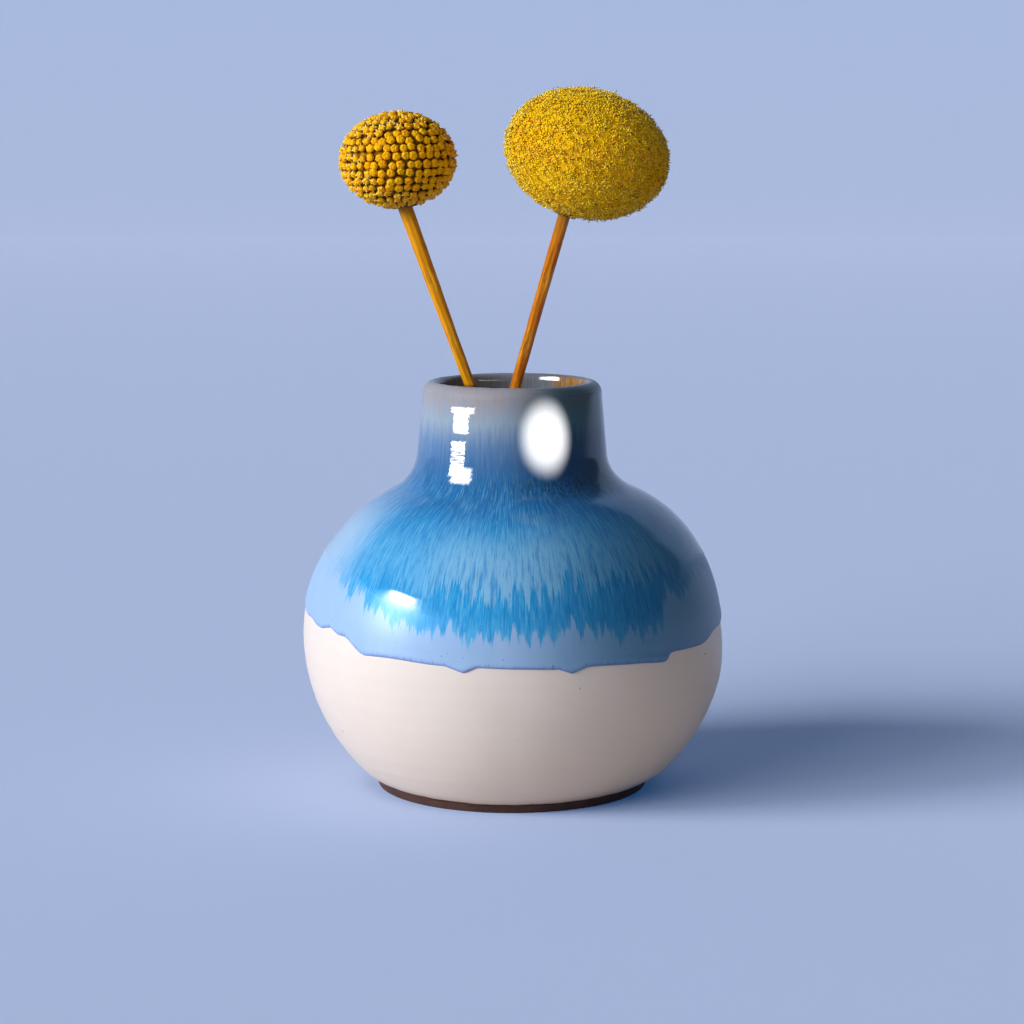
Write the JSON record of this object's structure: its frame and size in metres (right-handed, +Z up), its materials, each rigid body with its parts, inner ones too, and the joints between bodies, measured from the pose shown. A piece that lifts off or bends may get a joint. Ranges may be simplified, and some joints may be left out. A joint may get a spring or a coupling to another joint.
{
  "type": "ceramic bud vase",
  "caption": "Round-bellied stoneware bud vase with a short neck, dipped in cream and blue glaze, holding dried globe flowers that lift out.",
  "frame": {"origin": "centre of the foot's resting face, on the vase's axis", "axes": "+Z up along the vase's axis; -Y to the front, so that the smaller flower leans to -X and the bigger one to +X"},
  "size_m": [0.0802, 0.0802, 0.1326],
  "materials": {
    "stoneware": "matte",
    "cream_glaze": "satin",
    "liner_glaze": "gloss",
    "blue_glaze": "gloss",
    "stem_left": "satin",
    "stem_right": "satin",
    "receptacle": "matte",
    "florets_left": "matte",
    "florets_right": "matte"
  },
  "bodies": {
    "vase": {"clay_body": "stoneware", "cream_glaze": "cream_glaze", "liner_glaze": "liner_glaze", "blue_glaze": "blue_glaze"},
    "left_flower": {"left_stem": "stem_left", "left_receptacle": "receptacle", "left_florets": "florets_left"},
    "right_flower": {"right_stem": "stem_right", "right_receptacle": "receptacle", "right_florets": "florets_right"}
  },
  "joints": [
    {"name": "left_flower_lift", "type": "slide", "parent": "vase", "child": "left_flower", "axis": [-0.3429, 0, 0.9394], "range_m": [0, 0.085]},
    {"name": "right_flower_lift", "type": "slide", "parent": "vase", "child": "right_flower", "axis": [0.2702, 0, 0.9628], "range_m": [0, 0.085]}
  ]
}
